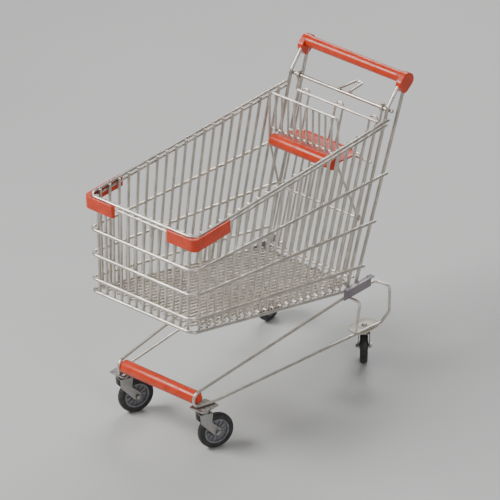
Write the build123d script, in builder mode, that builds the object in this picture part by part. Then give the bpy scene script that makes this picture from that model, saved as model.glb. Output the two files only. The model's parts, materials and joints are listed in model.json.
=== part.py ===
"""Supermarket shopping cart: wire basket, bent wire chassis, swinging rear gate, child seat, castors.

Millimetres.  X is the width, +Y points to the handle, +Z up, the floor is Z = 0.
"""
from build123d import *
from math import atan2, cos, degrees, floor, radians, sin
import os

# ---------------------------------------------------------------- wires
RIM_WIRE = 10.0
LOWER_RIM_WIRE = 8.0
HOOP_WIRE = 11.0
MESH_WIRE = 10.0
FLOOR_WIRE = 7.0
REAR_FLOOR_WIRE = 10.0
UPRIGHT_WIRE = 12.0
CHASSIS_WIRE = 10.0
CROSSBAR_WIRE = 13.0
HOOK_WIRE = 9.0
GATE_WIRE = 9.0
GATE_MESH_WIRE = 8.0
SEAT_WIRE = 8.0

# ---------------------------------------------------------------- basket
FRONT_Y = -539.0
RIM_FRONT_Z = 843.0
RIM_SLOPE = 0.0415
WALL_HALF_WIDTH = 221.5
WALL_TAPER = 0.0103
WALL_LEAN = 0.0241
LOWER_RIM_DROP = 16.0
BOTTOM_FRONT_Z = 495.0
FLOOR_SLOPE = 0.227
BOTTOM_RIM_END_Y = 221.0
HOOP_BEND = 28.0
UPPER_HOOP_Z = 721.0
UPPER_HOOP_SLOPE = 0.038
MIDDLE_HOOP_Z = 630.0
MIDDLE_HOOP_SLOPE = 0.115
LOWER_HOOP_Z = 541.0
LOWER_HOOP_SLOPE = 0.190
SIDE_WIRE_PITCH = 36.0
FRONT_WIRE_PITCH = 33.0
FRONT_WIRE_INSET = HOOP_BEND - 4.0
FLOOR_WIRE_PITCH = 20.0
FIRST_SIDE_WIRE = 38.0
REAR_FLOOR_WIRE_Y = 279.0
GATE_STOP_GAP = 0.4
WELD_BITE = 1.0

# ---------------------------------------------------------------- uprights and handle
FRONT_LEG_Y = 424.0
FRONT_LEG_Z = 884.0
FRONT_LEG_LEAN = 0.297
REAR_LEG_Y = 320.0
REAR_LEG_Z = 375.0
REAR_LEG_LEAN = 0.3345
LEG_KNEE_Z = 925.0
LEG_TOP_Z = 996.0
LEG_TOP_FRONT_Y = 498.0
LEG_BEND = 14.0
HANDLE_Y = 518.0
HANDLE_Z = 1000.0
HANDLE_SLEEVE = 39.0
HANDLE_CORE = 26.0
HANDLE_CORE_WALL = 2.0
GRIP_END_GAP = 0.6
CAP_OUTER_X = 222.0
CAP_EDGE = 3.0
CAP_CREST_RADIUS = 24.0
CAP_CREST_DROP = 2.0
CAP_BACK_RADIUS = 25.0
CAP_BACK_OFFSET = (9.0, 7.0)
CAP_FRONT_RADIUS = 20.0
CAP_FRONT_OFFSET = (-17.0, 12.0)
CAP_FOOT_RADIUS = 16.0
CAP_FOOT_OFFSET = (-8.0, 31.0)
CROSSBAR_Z = 910.0
CROSSBAR_OVERHANG = 8.0
HOOK_X = 18.0
HOOK_WIDTH = 43.0
HOOK_LENGTH = 76.0

# ---------------------------------------------------------------- chassis
BRACKET_X = 206.1
BRACKET_SHEET = 4.0
BRACKET_FRONT_Y = 225.0
BRACKET_REAR_Y = 363.0
BRACKET_BOTTOM_Z = 286.5
BRACKET_TOP_Z = 330.0
BRACKET_FLANGE = 14.0
UPPER_RAIL_Z = 291.0
LOWER_RAIL_Z = 168.0
NOSE_DEPTH = 48.0
REAR_RAIL_X = 260.0
RAIL_FRONT_X = 163.5
RAIL_KNEE_X = 187.5
RAIL_KNEE_Y = -387.0
RAIL_BEND = 16.0
REAR_RAIL_RUNOUT = 4.0
REAR_RAIL_RISE = 24.0
REAR_RAIL_TUCK = (2.0, 6.0)
WELD_GAP = 0.2
TUBE_Y = -452.0
TUBE_Z = 192.0
TUBE_DIAMETER = 46.0
TUBE_BORE = 30.0
TUBE_END_GAP = 0.3
PLUG_HALF = 172.0
PLUG_DEPTH = 30.0
STAY_X = 248.0
STAY_Y = 261.0
STAY_RAKE = 20.0
PLATE_SHEET = 4.0
FRONT_PLATE_SIZE = (62.0, 78.0, 6.0)
REAR_PLATE_SIZE = (74.0, 112.0, 30.0)
REAR_PLATE_OFFSET = (2.0, 6.0)

# ---------------------------------------------------------------- castors
FRONT_SWIVEL = (174.0, -437.0)
REAR_SWIVEL = (222.0, 316.0)
FRONT_TRAIL_ANGLE = 68.0
REAR_LEFT_TRAIL_ANGLE = 98.0
REAR_RIGHT_TRAIL_ANGLE = 130.0
TRAIL = 42.0
WHEEL_DIAMETER = 125.0
TYRE_WIDTH = 26.0
TYRE_DEPTH = 18.5
DISC_WIDTH = 18.0
HUB_WIDTH = 32.0
HUB_RADIUS = 13.0
AXLE = 10.0
AXLE_RUNNING = 0.08
FORK_SHEET = 3.0
FORK_GAP = 34.0
FORK_CROWN_Z = 138.0
CROWN_HALF = 23.0
FORK_EYE_RADIUS = 11.0
FORK_BACK_RISE = 46.0
FORK_FRONT_RISE = 42.0
FORK_WAIST = 20.0
FORK_BENDS = (12.0, 8.0, 6.0, 8.0, 12.0)
BOLT_OVERHANG = 7.0
BOLT_HEAD = 6.0
BOLT_NUT = 8.0
BOLT_HEX_RADIUS = 8.5
TYRE_SHOULDER = 8.0
DISC_RIM = 5.0
DISC_RIM_SET_IN = 1.0
TOP_PLATE_SHEET = 3.0
TOP_PLATE_SIZE = (50.0, 56.0, 5.0)
RACE_RADIUS = 19.0
RACE_GAP = 0.3
KINGPIN = 12.0
KINGPIN_HEAD = 18.0
KINGPIN_RUNNING = 0.08
KINGPIN_HEAD_HEIGHT = 4.0

# ---------------------------------------------------------------- gate, seat and backrest
GATE_LEAN = 0.297
GATE_HALF = 178.0
EYE_CLEARANCE = 0.08
GATE_TOP_DOWN = 52.0
GATE_SEAT_DOWN = 190.0
GATE_MIDDLE_DOWN = 385.0
GATE_BOTTOM_DOWN = 588.0
POST_WIDTH = 31.0
POST_X = 146.0
GATE_MESH_PITCH = 29.0
SEAT_HINGE_OUT = 14.0
SEAT_HALF = 132.0
SEAT_DEPTH = 126.0
SEAT_SHEET = 6.0
SEAT_TILT = 5.0
SEAT_LIP = 44.0
SEAT_HINGE_DOWN = 173.0
SEAT_RUNNING = 0.08
SEAT_WIRE_FOOT = 19.0
BACK_HALF = 146.5
BACK_TOP_Y = 255.0
BACK_TOP_Z = 931.0
BACK_LOWER_Z = 796.0
BACK_PIVOT_DOWN = 385.0
BACK_BEND_Z = 757.0
BACK_WIRES = 10

# ---------------------------------------------------------------- corner bumpers
BUMPER_FRONT = 122.0
BUMPER_SIDE = 172.0
BUMPER_HEIGHT = 45.0
BUMPER_SHEET = 8.0
BUMPER_SEAT = 0.3
BUMPER_CORNER = 22.0
BUMPER_EDGE = 2.5


def wall(y, z):
    """Half width of the basket at the weld plane between the hoops and the upright wires."""
    return WALL_HALF_WIDTH - WALL_TAPER * (y - FRONT_Y) + WALL_LEAN * (z - RIM_FRONT_Z)


def rim_z(y):
    """Height of the top rim's centre line."""
    return RIM_FRONT_Z + RIM_SLOPE * (y - FRONT_Y)


def bottom_z(y):
    """Height of the bottom rim's centre line."""
    return BOTTOM_FRONT_Z - FLOOR_SLOPE * (y - FRONT_Y)


def front_leg_y(z):
    """Y of the upright's front leg."""
    return FRONT_LEG_Y + FRONT_LEG_LEAN * (z - FRONT_LEG_Z)


def rear_leg_y(z):
    """Y of the upright's rear leg."""
    return REAR_LEG_Y + REAR_LEG_LEAN * (z - REAR_LEG_Z)


FLOOR_RISE = (1 + FLOOR_SLOPE**2) ** 0.5
CROSS_LIFT = (HOOP_WIRE + FLOOR_WIRE) / 2 * FLOOR_RISE
LONG_LIFT = CROSS_LIFT + FLOOR_WIRE * FLOOR_RISE
LEG_FOOT_Z = UPPER_RAIL_Z + CHASSIS_WIRE / 2 + 1
GRIP_HALF = wall(HANDLE_Y, HANDLE_Z) - UPRIGHT_WIRE - GRIP_END_GAP
CROSSBAR_Y = front_leg_y(CROSSBAR_Z) + (CROSSBAR_WIRE + UPRIGHT_WIRE) / 2 * (1 + FRONT_LEG_LEAN**2) ** 0.5
TUBE_HALF = RAIL_FRONT_X - CHASSIS_WIRE / 2 - TUBE_END_GAP
UPPER_RAIL_NOSE = LOWER_RAIL_Z + NOSE_DEPTH
PLATE_TOP_Z = LOWER_RAIL_Z - CHASSIS_WIRE / 2
TOP_PLATE_Z = PLATE_TOP_Z - PLATE_SHEET
RACE_TOP_Z = TOP_PLATE_Z - TOP_PLATE_SHEET
CROWN_TOP_Z = FORK_CROWN_Z + FORK_SHEET
WHEEL_RADIUS = WHEEL_DIAMETER / 2
DISC_RADIUS = WHEEL_RADIUS - TYRE_DEPTH
GATE_FALL = degrees(atan2(GATE_LEAN, 1))


def gate_point(x, down, out=0.0):
    """A point of the gate: down along it from the hinge, out behind it."""
    lean = radians(GATE_FALL)
    y = CROSSBAR_Y - down * sin(lean) + out * cos(lean)
    return (x, y, CROSSBAR_Z - down * cos(lean) - out * sin(lean))


def save(piece, label):
    """Name a finished piece and write its file."""
    piece.part.label = label
    export_step(piece.part, f"parts/{label}.step")


def bent_wire(points, bend, diameter):
    """One round wire bent along the points."""
    with BuildPart() as wire:
        with BuildLine() as path:
            FilletPolyline(*points, radius=bend)
        with BuildSketch(Plane(origin=path.line @ 0, z_dir=path.line % 0)):
            Circle(diameter / 2)
        sweep(path=path.line)
    return wire


def straight_wires(ends, diameter):
    """A group of straight round wires, one for each pair of end points."""
    with BuildPart() as group:
        for start, end in ends:
            run = Vector(*end) - Vector(*start)
            with BuildSketch(Plane(origin=start, z_dir=run)):
                Circle(diameter / 2)
            extrude(amount=run.length)
    return group


# ================================================================ basket
def hoop(front_z, slope, end_y, diameter):
    """A U of wire round the front and both sides, outside the upright wires."""
    end_z = front_z + slope * (end_y - FRONT_Y)
    front_x = wall(FRONT_Y, front_z) + diameter / 2
    end_x = wall(end_y, end_z) + diameter / 2
    front_y = FRONT_Y - diameter / 2
    corners = [(-end_x, end_y, end_z), (-front_x, front_y, front_z),
               (front_x, front_y, front_z), (end_x, end_y, end_z)]
    return bent_wire(corners, HOOP_BEND, diameter)


def make_basket_hoops():
    """The two rim wires, the three hoops and the bottom rim."""
    rim_end = front_leg_y(rim_z(FRONT_LEG_Y)) + UPRIGHT_WIRE / 2
    save(hoop(RIM_FRONT_Z, RIM_SLOPE, rim_end, RIM_WIRE), "basket_rim_top_wire")
    lower_end = rim_end - UPRIGHT_WIRE / 2
    save(hoop(RIM_FRONT_Z - LOWER_RIM_DROP, RIM_SLOPE, lower_end, LOWER_RIM_WIRE),
         "basket_rim_lower_wire")
    hoops = (("basket_hoop_upper", UPPER_HOOP_Z, UPPER_HOOP_SLOPE),
             ("basket_hoop_middle", MIDDLE_HOOP_Z, MIDDLE_HOOP_SLOPE),
             ("basket_hoop_lower", LOWER_HOOP_Z, LOWER_HOOP_SLOPE))
    for label, front_z, fall in hoops:
        reach = rear_leg_y(front_z - fall * (REAR_LEG_Y - FRONT_Y)) + UPRIGHT_WIRE / 2
        save(hoop(front_z, -fall, reach, HOOP_WIRE), label)
    save(hoop(BOTTOM_FRONT_Z, -FLOOR_SLOPE, BOTTOM_RIM_END_Y, HOOP_WIRE), "basket_bottom_rim")


def side_wire_stations():
    """Top and bottom Y of each side wire, fanned from upright at the front to the legs' lean."""
    top_length = front_leg_y(RIM_FRONT_Z) - SIDE_WIRE_PITCH - FRONT_Y - FIRST_SIDE_WIRE
    low_length = BOTTOM_RIM_END_Y - MESH_WIRE - FRONT_Y - FIRST_SIDE_WIRE
    count = floor(low_length / SIDE_WIRE_PITCH)
    first = FRONT_Y + FIRST_SIDE_WIRE
    return [(first + top_length * i / count, first + low_length * i / count)
            for i in range(count + 1)]


def make_side_wires(side, label):
    """The upright wires of one side, welded inside the hoops."""
    ends = []
    for top_y, low_y in side_wire_stations():
        top_z = rim_z(top_y) + RIM_WIRE / 4
        low_z = bottom_z(low_y) - HOOP_WIRE / 4
        top_x = side * (wall(top_y, top_z) - MESH_WIRE / 2)
        low_x = side * (wall(low_y, low_z) - MESH_WIRE / 2)
        ends.append(((low_x, low_y, low_z), (top_x, top_y, top_z)))
    save(straight_wires(ends, MESH_WIRE), label)


def make_front_wires():
    """The upright wires of the front panel."""
    top_z = RIM_FRONT_Z + RIM_WIRE / 4
    low_z = BOTTOM_FRONT_Z - HOOP_WIRE / 4
    y = FRONT_Y + MESH_WIRE / 2
    top_half = wall(FRONT_Y, top_z) - FRONT_WIRE_INSET
    low_half = wall(FRONT_Y, low_z) - FRONT_WIRE_INSET
    count = round(2 * top_half / FRONT_WIRE_PITCH)
    ends = []
    for i in range(count + 1):
        share = 2 * i / count - 1
        ends.append(((low_half * share, y, low_z), (top_half * share, y, top_z)))
    save(straight_wires(ends, MESH_WIRE), "basket_front_wires")


def cross_wire_stations():
    """Y of the floor's cross wires: two between each pair of side wires, on the bottom rim."""
    passing = []
    for top_y, low_y in side_wire_stations():
        rise = CROSS_LIFT / (rim_z(top_y) - bottom_z(low_y))
        passing.append(low_y + rise * (top_y - low_y))
    stations = []
    for y, following in zip(passing, passing[1:]):
        step = following - y
        stations += [y + step / 4, y + 3 * step / 4]
    return stations


def make_floor_wires():
    """The dense floor: cross wires on the bottom rim, long wires on the cross wires."""
    ends = []
    for y in cross_wire_stations():
        z = bottom_z(y) + CROSS_LIFT
        half = wall(y, z) + HOOP_WIRE / 4
        ends.append(((-half, y, z), (half, y, z)))
    pitch = ends[-1][0][1] - ends[-3][0][1]
    short_half = wall(BOTTOM_RIM_END_Y, bottom_z(BOTTOM_RIM_END_Y)) - UPRIGHT_WIRE * 1.5
    last_y = ends[-1][0][1] + pitch / 2
    while last_y < REAR_FLOOR_WIRE_Y - pitch / 4:
        z = bottom_z(last_y) + CROSS_LIFT
        ends.append(((-short_half, last_y, z), (short_half, last_y, z)))
        last_y += pitch / 2
    save(straight_wires(ends, FLOOR_WIRE), "basket_floor_cross_wires")

    start_y = FRONT_Y + MESH_WIRE + FLOOR_WIRE / 4
    start_z = bottom_z(start_y) + LONG_LIFT
    end_z = bottom_z(REAR_FLOOR_WIRE_Y) + LONG_LIFT
    start_half = wall(start_y, start_z) - MESH_WIRE - FLOOR_WIRE
    end_half = short_half - FLOOR_WIRE / 2
    count = round(2 * start_half / FLOOR_WIRE_PITCH)
    runs = []
    for i in range(count + 1):
        share = 2 * i / count - 1
        runs.append(((start_half * share, start_y, start_z),
                     (end_half * share, REAR_FLOOR_WIRE_Y, end_z)))
    save(straight_wires(runs, FLOOR_WIRE), "basket_floor_long_wires")

    rear_z = end_z - (FLOOR_WIRE + REAR_FLOOR_WIRE) / 2 * FLOOR_RISE
    rear = ((-BRACKET_X, REAR_FLOOR_WIRE_Y, rear_z), (BRACKET_X, REAR_FLOOR_WIRE_Y, rear_z))
    save(straight_wires([rear], REAR_FLOOR_WIRE), "basket_floor_rear_wire")


def make_gate_stop():
    """The wire between the rear legs that the gate rests against."""
    out = GATE_WIRE / 2 + GATE_MESH_WIRE + REAR_FLOOR_WIRE / 2 + GATE_STOP_GAP
    _, y, z = gate_point(0, GATE_BOTTOM_DOWN, out)
    half = wall(y, z) - UPRIGHT_WIRE + WELD_BITE
    save(straight_wires([((-half, y, z), (half, y, z))], REAR_FLOOR_WIRE), "gate_stop_wire")


def make_corner_bumper(side, label):
    """An L-shaped plastic guard outside the rim's front corner."""
    seat_x = wall(FRONT_Y, RIM_FRONT_Z) + RIM_WIRE + BUMPER_SEAT
    seat_y = -RIM_WIRE - BUMPER_SEAT
    taper = WALL_TAPER * BUMPER_SIDE
    tip_x = seat_x - BUMPER_FRONT
    tip_y = BUMPER_SIDE - RIM_WIRE
    outer_x = seat_x + BUMPER_SHEET
    outer_y = seat_y - BUMPER_SHEET
    bevel_x = tip_x + BUMPER_SHEET
    bevel_y = tip_y - BUMPER_SHEET
    tilted = Plane(origin=(0, FRONT_Y, RIM_FRONT_Z), x_dir=(1, 0, 0), z_dir=(0, -RIM_SLOPE, 1))
    with BuildPart() as bumper:
        with BuildSketch(tilted):
            with BuildLine():
                FilletPolyline((side * tip_x, seat_y), (side * seat_x, seat_y),
                               (side * (seat_x - taper), tip_y), radius=HOOP_BEND + RIM_WIRE / 2)
                FilletPolyline((side * bevel_x, outer_y), (side * outer_x, outer_y),
                               (side * (outer_x - taper), bevel_y), radius=BUMPER_CORNER)
                Line((side * tip_x, seat_y), (side * bevel_x, outer_y))
                Line((side * (seat_x - taper), tip_y), (side * (outer_x - taper), bevel_y))
            make_face()
        extrude(amount=-BUMPER_HEIGHT)
        fillet(bumper.faces().sort_by(Axis.Z)[-1].edges(), radius=BUMPER_EDGE)
        fillet(bumper.faces().sort_by(Axis.Z)[0].edges(), radius=BUMPER_EDGE)
    save(bumper, label)


# ================================================================ uprights and handle
def make_upright(side, label):
    """A hairpin of thick wire: the basket hangs on its front leg, the handle on its bend."""
    def at(y, z):
        return (side * (wall(y, z) - UPRIGHT_WIRE / 2), y, z)
    corners = [at(front_leg_y(LEG_FOOT_Z), LEG_FOOT_Z), at(front_leg_y(LEG_KNEE_Z), LEG_KNEE_Z),
               at(LEG_TOP_FRONT_Y, LEG_TOP_Z), at(rear_leg_y(LEG_TOP_Z), LEG_TOP_Z),
               at(rear_leg_y(LEG_FOOT_Z), LEG_FOOT_Z)]
    upright = bent_wire(corners, LEG_BEND, UPRIGHT_WIRE)
    save(upright, label)
    return upright


def make_handle_core():
    """The steel tube between the two uprights."""
    half = wall(HANDLE_Y, LEG_TOP_Z) - UPRIGHT_WIRE - WELD_GAP
    with BuildPart() as core:
        with BuildSketch(Plane.YZ.offset(-half)):
            with Locations((HANDLE_Y, HANDLE_Z)):
                Circle(HANDLE_CORE / 2)
                Circle(HANDLE_CORE / 2 - HANDLE_CORE_WALL, mode=Mode.SUBTRACT)
        extrude(amount=2 * half)
    save(core, "handle_core_tube")
    return core


def make_handle_sleeve():
    """The plastic grip over the core tube."""
    with BuildPart() as sleeve:
        with BuildSketch(Plane.YZ.offset(-GRIP_HALF)):
            with Locations((HANDLE_Y, HANDLE_Z)):
                Circle(HANDLE_SLEEVE / 2)
                Circle(HANDLE_CORE / 2, mode=Mode.SUBTRACT)
        extrude(amount=2 * GRIP_HALF)
    save(sleeve, "handle_grip")


def make_handle_cap(side, label, upright, core):
    """The moulded cheek that holds the hairpin's bend and the end of the grip."""
    with BuildPart() as cap:
        with BuildSketch(Plane.YZ.offset(side * GRIP_HALF)):
            with Locations((HANDLE_Y, HANDLE_Z - CAP_CREST_DROP)):
                Circle(CAP_CREST_RADIUS)
            with Locations((HANDLE_Y + CAP_BACK_OFFSET[0], HANDLE_Z - CAP_BACK_OFFSET[1])):
                Circle(CAP_BACK_RADIUS)
            with Locations((HANDLE_Y + CAP_FRONT_OFFSET[0], HANDLE_Z - CAP_FRONT_OFFSET[1])):
                Circle(CAP_FRONT_RADIUS)
            with Locations((HANDLE_Y + CAP_FOOT_OFFSET[0], HANDLE_Z - CAP_FOOT_OFFSET[1])):
                Circle(CAP_FOOT_RADIUS)
            make_hull()
        extrude(amount=side * (CAP_OUTER_X - GRIP_HALF))
        fillet(cap.faces().sort_by(Axis.X)[-1 if side > 0 else 0].edges(), radius=CAP_EDGE)
        add(upright.part, mode=Mode.SUBTRACT)
        add(core.part, mode=Mode.SUBTRACT)
    save(cap, label)


def make_crossbar():
    """The round bar behind the front legs, which carries the gate."""
    half = wall(CROSSBAR_Y, CROSSBAR_Z) + CROSSBAR_OVERHANG
    ends = ((-half, CROSSBAR_Y, CROSSBAR_Z), (half, CROSSBAR_Y, CROSSBAR_Z))
    save(straight_wires([ends], CROSSBAR_WIRE), "crossbar")


def make_bag_hook():
    """A flat U of wire welded on top of the crossbar, pointing to the handle."""
    z = CROSSBAR_Z + (CROSSBAR_WIRE + HOOK_WIRE) / 2
    near = CROSSBAR_Y - CROSSBAR_WIRE / 2
    far = CROSSBAR_Y + HOOK_LENGTH
    left = HOOK_X - HOOK_WIDTH / 2
    right = HOOK_X + HOOK_WIDTH / 2
    corners = [(left, near, z), (left + HOOK_WIRE, far, z),
               (right - HOOK_WIRE, far, z), (right, near, z)]
    save(bent_wire(corners, HOOK_WIDTH / 4, HOOK_WIRE), "bag_hook")


# ================================================================ chassis
def make_chassis_loop(side, label):
    """One bent wire: lower rail, bend round the tube's end, upper rail, and the rear outrigger."""
    inner_x = BRACKET_X - CHASSIS_WIRE / 2
    nose_y = TUBE_Y - (UPPER_RAIL_NOSE - LOWER_RAIL_Z) / 2
    joint_y = (BRACKET_FRONT_Y + BRACKET_REAR_Y) / 2
    turn_y = BRACKET_REAR_Y + 2 * RAIL_BEND
    rear_y = turn_y + REAR_RAIL_RUNOUT
    heel_x, heel_y = rear_rail_heel()
    corners = [(inner_x, joint_y, UPPER_RAIL_Z),
               (inner_x, turn_y, UPPER_RAIL_Z),
               (REAR_RAIL_X, rear_y, UPPER_RAIL_Z),
               (REAR_RAIL_X, rear_y, LOWER_RAIL_Z + REAR_RAIL_RISE),
               (heel_x, heel_y, LOWER_RAIL_Z),
               (RAIL_KNEE_X, RAIL_KNEE_Y, LOWER_RAIL_Z),
               (RAIL_FRONT_X, nose_y, LOWER_RAIL_Z),
               (RAIL_FRONT_X, nose_y, UPPER_RAIL_NOSE),
               (inner_x, BRACKET_FRONT_Y - CHASSIS_WIRE, UPPER_RAIL_Z),
               (inner_x, joint_y - WELD_GAP, UPPER_RAIL_Z)]
    nose_bend = (UPPER_RAIL_NOSE - LOWER_RAIL_Z) / 2 - WELD_BITE
    bends = [RAIL_BEND] * 5 + [nose_bend] * 2 + [RAIL_BEND]
    placed = [(side * x, y, z) for x, y, z in corners]
    save(bent_wire(placed, bends, CHASSIS_WIRE), label)


def rear_rail_heel():
    """Where the outrigger meets the lower rail, as half spacing and Y."""
    return (REAR_RAIL_X - REAR_RAIL_TUCK[0], BRACKET_REAR_Y - REAR_RAIL_TUCK[1])


def lower_rail_x(y):
    """Half spacing of the two lower rails."""
    heel_x, heel_y = rear_rail_heel()
    share = (y - RAIL_KNEE_Y) / (heel_y - RAIL_KNEE_Y)
    return RAIL_KNEE_X + share * (heel_x - RAIL_KNEE_X)


def make_stay(side, label):
    """The short bent wire from under the bracket down to the lower rail."""
    z = UPPER_RAIL_Z - CHASSIS_WIRE - WELD_GAP
    foot_y = STAY_Y - STAY_RAKE
    foot_x = lower_rail_x(foot_y)
    corners = [(side * (BRACKET_X - 1.5 * CHASSIS_WIRE), STAY_Y, z), (side * STAY_X, STAY_Y, z),
               (side * foot_x, foot_y, LOWER_RAIL_Z + CHASSIS_WIRE / 2)]
    save(bent_wire(corners, RAIL_BEND, CHASSIS_WIRE), label)


def make_bracket(side, label):
    """The sheet bracket outside the feet of the upright, with a flange along its top."""
    length = BRACKET_REAR_Y - BRACKET_FRONT_Y
    with BuildPart() as bracket:
        with BuildSketch(Plane.XZ.offset(-BRACKET_FRONT_Y)):
            with BuildLine():
                outer = BRACKET_X + BRACKET_SHEET
                Polyline((side * BRACKET_X, BRACKET_BOTTOM_Z), (side * outer, BRACKET_BOTTOM_Z),
                         (side * outer, BRACKET_TOP_Z - BRACKET_SHEET),
                         (side * (outer + BRACKET_FLANGE), BRACKET_TOP_Z - BRACKET_SHEET),
                         (side * (outer + BRACKET_FLANGE), BRACKET_TOP_Z),
                         (side * BRACKET_X, BRACKET_TOP_Z), close=True)
            make_face()
        extrude(amount=-length)
    save(bracket, label)


def make_front_bumper():
    """The plastic tube across the front of the chassis, with a plug in each end."""
    with BuildPart() as tube:
        with BuildSketch(Plane.YZ.offset(-TUBE_HALF)):
            with Locations((TUBE_Y, TUBE_Z)):
                Circle(TUBE_DIAMETER / 2)
                Circle(TUBE_BORE / 2, mode=Mode.SUBTRACT)
        extrude(amount=2 * TUBE_HALF)
    save(tube, "front_bumper_tube")
    with BuildPart() as plugs:
        for side in (-1, 1):
            with BuildSketch(Plane.YZ.offset(side * (TUBE_HALF - PLUG_DEPTH))):
                with Locations((TUBE_Y, TUBE_Z)):
                    Circle(TUBE_BORE / 2)
            extrude(amount=side * (PLUG_HALF - TUBE_HALF + PLUG_DEPTH))
    save(plugs, "front_bumper_plugs")


def make_castor_mounts():
    """Chassis plates under the lower rails, the castors' own top plates, and the kingpins."""
    front_x, front_y = FRONT_SWIVEL
    rear_x, rear_y = REAR_SWIVEL
    with BuildPart() as front_plates:
        with BuildSketch(Plane.XY.offset(TOP_PLATE_Z)):
            with Locations((-front_x, front_y), (front_x, front_y)):
                RectangleRounded(*FRONT_PLATE_SIZE)
                Circle(KINGPIN / 2, mode=Mode.SUBTRACT)
        extrude(amount=PLATE_SHEET)
    save(front_plates, "front_castor_plates")
    with BuildPart() as rear_plates:
        with BuildSketch(Plane.XY.offset(TOP_PLATE_Z)):
            for side in (-1, 1):
                with Locations((side * (rear_x + REAR_PLATE_OFFSET[0]), rear_y - REAR_PLATE_OFFSET[1])):
                    RectangleRounded(*REAR_PLATE_SIZE)
                with Locations((side * rear_x, rear_y)):
                    Circle(KINGPIN / 2, mode=Mode.SUBTRACT)
        extrude(amount=PLATE_SHEET)
    save(rear_plates, "rear_castor_plates")
    spots = [(s * x, y) for x, y in (FRONT_SWIVEL, REAR_SWIVEL) for s in (-1, 1)]
    with BuildPart() as top_plates:
        with BuildSketch(Plane.XY.offset(RACE_TOP_Z)):
            with Locations(*spots):
                RectangleRounded(*TOP_PLATE_SIZE)
                Circle(KINGPIN / 2, mode=Mode.SUBTRACT)
        extrude(amount=TOP_PLATE_SHEET)
        with BuildSketch(Plane.XY.offset(RACE_TOP_Z)):
            with Locations(*spots):
                Circle(RACE_RADIUS)
                Circle(KINGPIN / 2, mode=Mode.SUBTRACT)
        extrude(amount=-(RACE_TOP_Z - CROWN_TOP_Z - RACE_GAP))
    save(top_plates, "castor_top_plates")
    head_z = FORK_CROWN_Z - RACE_GAP
    with BuildPart() as kingpins:
        with BuildSketch(Plane.XY.offset(head_z)):
            with Locations(*spots):
                Circle(KINGPIN / 2)
        extrude(amount=PLATE_TOP_Z - head_z)
        with BuildSketch(Plane.XY.offset(head_z)):
            with Locations(*spots):
                Circle(KINGPIN_HEAD / 2)
        extrude(amount=-KINGPIN_HEAD_HEIGHT)
    save(kingpins, "castor_kingpins")


# ================================================================ castors
def castor_plane(swivel_x, swivel_y, angle):
    """Local frame of a castor: x trails, y is the axle, z up from the floor."""
    return Plane(origin=(swivel_x, swivel_y, 0), x_dir=(cos(radians(angle)), sin(radians(angle)), 0),
                 z_dir=(0, 0, 1))


def side_plane(base, offset):
    """The upright plane of the wheel, moved along the axle."""
    origin = base.from_local_coords((0, offset, 0))
    return Plane(origin=origin, x_dir=base.x_dir, z_dir=-base.y_dir)


def make_fork(base, label):
    """The bent sheet fork: a crown on the kingpin and two curved legs to the axle."""
    outer = FORK_GAP / 2 + FORK_SHEET
    eye = FORK_EYE_RADIUS
    sole_z = WHEEL_RADIUS - TYRE_SHOULDER
    back = ((-CROWN_HALF, CROWN_TOP_Z), (-FORK_WAIST, WHEEL_RADIUS + FORK_BACK_RISE),
            (TRAIL - eye - 1, sole_z), (TRAIL + eye / 2 - 1.5, sole_z))
    nose = ((TRAIL + eye, WHEEL_RADIUS + eye + 1), (FORK_WAIST, WHEEL_RADIUS + FORK_FRONT_RISE),
            (CROWN_HALF, CROWN_TOP_Z))
    with BuildPart() as fork:
        with BuildSketch(base.offset(FORK_CROWN_Z)):
            Rectangle(2 * CROWN_HALF, 2 * outer)
            Circle(KINGPIN / 2 + KINGPIN_RUNNING, mode=Mode.SUBTRACT)
        extrude(amount=FORK_SHEET)
        for edge in (-outer, FORK_GAP / 2):
            with BuildSketch(side_plane(base, edge)):
                with BuildLine():
                    FilletPolyline(*back, *nose, radius=FORK_BENDS)
                    Line(nose[-1], back[0])
                make_face()
                with Locations((TRAIL, WHEEL_RADIUS)):
                    Circle(FORK_EYE_RADIUS)
                    Circle(AXLE / 2, mode=Mode.SUBTRACT)
            extrude(amount=-FORK_SHEET)
    save(fork, label)


def make_axle(base, label):
    """The axle bolt: shank, hexagon head and nut in one line across the fork."""
    outer = FORK_GAP / 2 + FORK_SHEET
    with BuildPart() as axle:
        with BuildSketch(side_plane(base, -outer - BOLT_OVERHANG)):
            with Locations((TRAIL, WHEEL_RADIUS)):
                Circle(AXLE / 2)
        extrude(amount=-2 * (outer + BOLT_OVERHANG))
        for edge, depth in ((-outer, BOLT_HEAD), (outer, -BOLT_NUT)):
            with BuildSketch(side_plane(base, edge)):
                with Locations((TRAIL, WHEEL_RADIUS)):
                    RegularPolygon(BOLT_HEX_RADIUS, 6)
            extrude(amount=depth)
    save(axle, label)


def make_wheel(base, label):
    """The plastic wheel disc with its hub, running on the axle bolt."""
    with BuildPart() as wheel:
        with BuildSketch(side_plane(base, -DISC_WIDTH / 2)):
            with Locations((TRAIL, WHEEL_RADIUS)):
                Circle(DISC_RADIUS)
                Circle(AXLE / 2 + AXLE_RUNNING, mode=Mode.SUBTRACT)
        extrude(amount=-DISC_WIDTH)
        with BuildSketch(side_plane(base, -HUB_WIDTH / 2)):
            with Locations((TRAIL, WHEEL_RADIUS)):
                Circle(HUB_RADIUS)
                Circle(AXLE / 2 + AXLE_RUNNING, mode=Mode.SUBTRACT)
        extrude(amount=-HUB_WIDTH)
        with BuildSketch(side_plane(base, -TYRE_WIDTH / 2 + DISC_RIM_SET_IN)):
            with Locations((TRAIL, WHEEL_RADIUS)):
                Circle(DISC_RADIUS)
                Circle(DISC_RADIUS - DISC_RIM, mode=Mode.SUBTRACT)
        extrude(amount=-(TYRE_WIDTH - 2 * DISC_RIM_SET_IN))
    save(wheel, label)


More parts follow.
